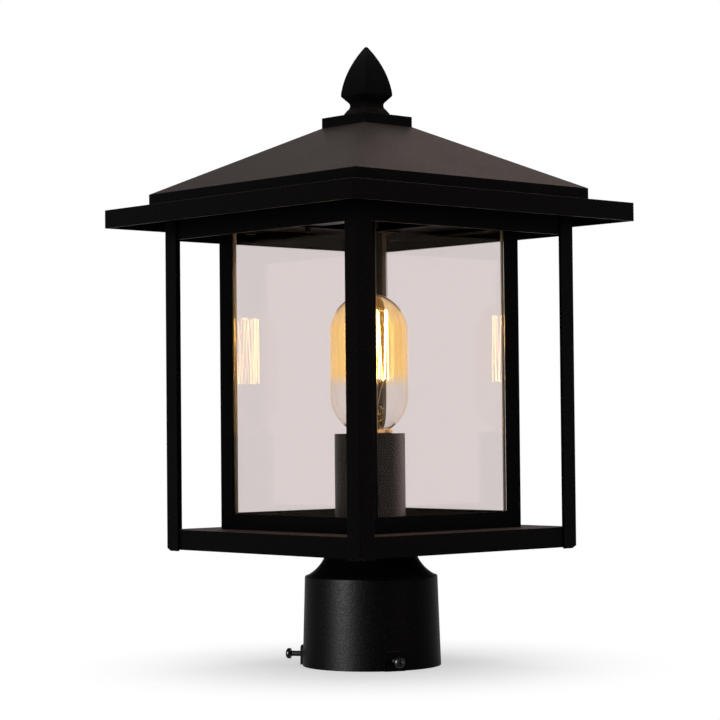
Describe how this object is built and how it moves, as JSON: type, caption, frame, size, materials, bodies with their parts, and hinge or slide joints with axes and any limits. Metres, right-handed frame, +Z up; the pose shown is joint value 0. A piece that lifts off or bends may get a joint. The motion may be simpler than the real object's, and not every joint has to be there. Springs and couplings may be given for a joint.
{
  "type": "post top lantern",
  "caption": "Square hip-roofed post top lantern: angle-post frame round a glazed cage with one lamp, lift-off roof with finial, and a screw-locked post collar.",
  "frame": {"origin": "centre of the post collar's lower edge, on the lantern's axis", "axes": "+Z up along the post and lantern axis, longest extent; X and Y square to the lantern's sides, -Y the front"},
  "size_m": [0.2318, 0.2318, 0.381],
  "materials": {
    "powder_coat": "fine-textured semi-matt black powder coat",
    "pane_glass": "clear",
    "lamp_glass": "amber-tinted above, clear below",
    "stem_glass": "clear",
    "brass": "bright",
    "zinc_steel": "zinc-plated",
    "black_steel": "blackened",
    "earth_green": "green-dyed zinc",
    "gasket_rubber": "matt",
    "holder_moulding": "moulded",
    "sleeve_black": "satin",
    "insulator_black": "glossy dark glass",
    "solder": "dull",
    "filament": "glowing",
    "support_wire": "plain wire"
  },
  "bodies": {
    "housing": {"post_front_left": "powder_coat", "cage_post_front_left": "powder_coat", "post_front_right": "powder_coat", "cage_post_front_right": "powder_coat", "post_back_right": "powder_coat", "cage_post_back_right": "powder_coat", "post_back_left": "powder_coat", "cage_post_back_left": "powder_coat", "cage_rail_front": "powder_coat", "pane_front": "pane_glass", "cage_rail_right": "powder_coat", "pane_right": "pane_glass", "cage_rail_back": "powder_coat", "pane_back": "pane_glass", "cage_rail_left": "powder_coat", "pane_left": "pane_glass", "post_collar": "powder_coat", "bottom_tray": "powder_coat", "top_frame": "powder_coat", "neck_gasket": "gasket_rubber", "earth_screw": "earth_green", "pane_clips": "black_steel", "finial_stud": "black_steel", "stud_nuts": "black_steel", "cross_bar": "black_steel", "cross_bar_screws": "black_steel", "nipple": "zinc_steel", "nipple_nuts": "zinc_steel", "nipple_washer": "zinc_steel", "socket_bracket": "zinc_steel", "bracket_screws": "zinc_steel", "holder_body": "holder_moulding", "holder_shell": "brass", "holder_contact": "brass", "holder_sleeve": "sleeve_black"},
    "roof": {"roof_brim": "powder_coat", "roof_cap": "powder_coat", "roof_plinth": "powder_coat"},
    "finial_nut": {"finial": "powder_coat"},
    "lamp": {"lamp_glass": "lamp_glass", "lamp_base": "brass", "lamp_insulator": "insulator_black", "lamp_tip": "solder", "lamp_stem": "stem_glass", "lamp_filament": "filament", "lamp_supports": "support_wire", "lamp_leads": "support_wire"},
    "screw_1": {"locking_screw_1": "black_steel"},
    "screw_2": {"locking_screw_2": "black_steel"},
    "screw_3": {"locking_screw_3": "black_steel"}
  },
  "joints": [
    {"name": "roof_lift", "type": "slide", "parent": "housing", "child": "roof", "axis": [0, 0, 1], "range_m": [0, 0.12]},
    {"name": "finial_turn", "type": "hinge", "parent": "roof", "child": "finial_nut", "pos_m": [0, 0, 0.34], "axis": [0, 0, 1], "continuous": true},
    {"name": "lamp_lift", "type": "slide", "parent": "housing", "child": "lamp", "axis": [0, 0, 1], "range_m": [0, 0.022]},
    {"name": "screw_1_drive", "type": "slide", "parent": "housing", "child": "screw_1", "axis": [-0.9135, 0.4067, 0], "range_m": [0, 0.0055]},
    {"name": "screw_2_drive", "type": "slide", "parent": "housing", "child": "screw_2", "axis": [0.1045, -0.9945, 0], "range_m": [0, 0.0055]},
    {"name": "screw_3_drive", "type": "slide", "parent": "housing", "child": "screw_3", "axis": [0.809, 0.5878, 0], "range_m": [0, 0.0055]}
  ]
}
